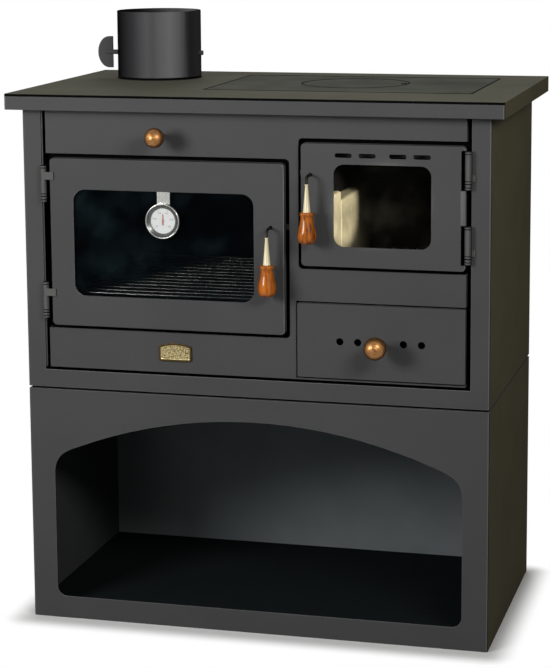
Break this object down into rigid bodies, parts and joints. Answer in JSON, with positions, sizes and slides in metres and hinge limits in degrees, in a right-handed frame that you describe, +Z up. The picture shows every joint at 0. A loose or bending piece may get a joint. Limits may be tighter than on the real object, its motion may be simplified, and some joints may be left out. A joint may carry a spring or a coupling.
{
  "type": "wood cookstove",
  "caption": "Steel wood-burning cooker with an oven, glazed fire door, ash drawer, hob plate and flue collar, on an open arched wood store.",
  "frame": {"origin": "on the floor, at the middle of the whole outline", "axes": "+X to the right as seen from the front, +Y to the back, +Z up"},
  "size_m": [0.786, 0.515, 0.963],
  "materials": {
    "paint": "satin",
    "hob_paint": "satin",
    "inner_steel": "matt",
    "cast_iron": "matt",
    "dark_steel": "dark satin",
    "bright_steel": "brushed",
    "copper": "polished copper tone",
    "brass": "satin",
    "ivory": "gloss",
    "lacquered_wood": "clear gloss lacquer",
    "glass": "dark, heat resisting",
    "dial_white": "matt",
    "needle_red": "satin",
    "seal_rope": "braided",
    "firebrick": "matt"
  },
  "bodies": {
    "stove": {"plinth_wrap": "paint", "plinth_back": "paint", "store_floor": "paint", "casing_wrap": "paint", "stove_floor": "inner_steel", "back_panel": "paint", "front_panel": "paint", "badge_plate": "brass", "inner_front": "inner_steel", "worktop": "hob_paint", "hob_plate": "cast_iron", "flue_collar": "paint", "oven_liner": "inner_steel", "oven_rack": "bright_steel", "firebox_shell": "inner_steel", "firebox_floor": "cast_iron", "fire_grate": "cast_iron", "firebrick_left_front": "firebrick", "firebrick_left_rear": "firebrick", "firebrick_right_front": "firebrick", "firebrick_right_rear": "firebrick", "firebrick_back": "firebrick", "smoke_baffle": "inner_steel", "oven_hinge_upper_pin": "paint", "oven_hinge_lower_pin": "paint", "fire_hinge_upper_leaf": "paint", "fire_hinge_lower_leaf": "paint"},
    "oven_door": {"oven_door_skin": "paint", "oven_door_inner": "inner_steel", "oven_door_seal": "seal_rope", "oven_door_glass": "glass", "oven_glass_strip_top": "inner_steel", "oven_glass_strip_bottom": "inner_steel", "oven_hinge_upper_leaf": "paint", "oven_hinge_lower_leaf": "paint", "thermometer_strap": "bright_steel", "thermometer_case": "bright_steel", "thermometer_dial": "dial_white", "thermometer_lens": "glass"},
    "thermometer_needle": {"thermometer_needle": "needle_red"},
    "oven_handle": {"oven_handle_rod": "dark_steel", "oven_handle_ferrule": "ivory", "oven_handle_grip": "lacquered_wood"},
    "fire_door": {"fire_door_skin": "paint", "fire_door_inner": "inner_steel", "fire_door_seal": "seal_rope", "fire_door_glass": "glass", "fire_hinge_upper_pin": "paint", "fire_hinge_lower_pin": "paint"},
    "fire_handle": {"fire_handle_rod": "dark_steel", "fire_handle_ferrule": "ivory", "fire_handle_grip": "lacquered_wood"},
    "ash_drawer": {"ash_drawer_front": "paint", "ash_drawer_tray": "inner_steel", "drawer_knob": "copper"},
    "bypass_damper": {"bypass_damper": "inner_steel", "bypass_knob": "copper"},
    "flue_damper": {"damper_spindle": "paint", "damper_disc": "cast_iron"},
    "hob_lid": {"hob_lid": "cast_iron"}
  },
  "joints": [
    {"name": "oven_door_swing", "type": "hinge", "parent": "stove", "child": "oven_door", "pos_m": [-0.3357, -0.2015, 0.617], "axis": [0, 0, -1], "range_deg": [0, 110]},
    {"name": "fire_door_swing", "type": "hinge", "parent": "stove", "child": "fire_door", "pos_m": [0.337, -0.2015, 0.688], "axis": [0, 0, 1], "range_deg": [0, 110]},
    {"name": "oven_handle_turn", "type": "hinge", "parent": "oven_door", "child": "oven_handle", "pos_m": [0.0325, -0.2285, 0.651], "axis": [0, 1, 0], "range_deg": [0, 90]},
    {"name": "fire_handle_turn", "type": "hinge", "parent": "fire_door", "child": "fire_handle", "pos_m": [0.0955, -0.2285, 0.7343], "axis": [0, -1, 0], "range_deg": [0, 90]},
    {"name": "ash_drawer_pull", "type": "slide", "parent": "stove", "child": "ash_drawer", "axis": [0, -1, 0], "range_m": [0, 0.28]},
    {"name": "bypass_pull", "type": "slide", "parent": "stove", "child": "bypass_damper", "axis": [0, -1, 0], "range_m": [0, 0.08]},
    {"name": "flue_damper_turn", "type": "hinge", "parent": "stove", "child": "flue_damper", "pos_m": [-0.2475, 0.1225, 0.892], "axis": [1, 0, 0], "range_deg": [0, 90]},
    {"name": "hob_lid_lift", "type": "slide", "parent": "stove", "child": "hob_lid", "axis": [0, 0, 1], "range_m": [0, 0.2]},
    {"name": "needle_turn", "type": "hinge", "parent": "oven_door", "child": "thermometer_needle", "pos_m": [-0.1391, -0.2073, 0.656], "axis": [0, 1, 0], "range_deg": [-130, 130]}
  ]
}
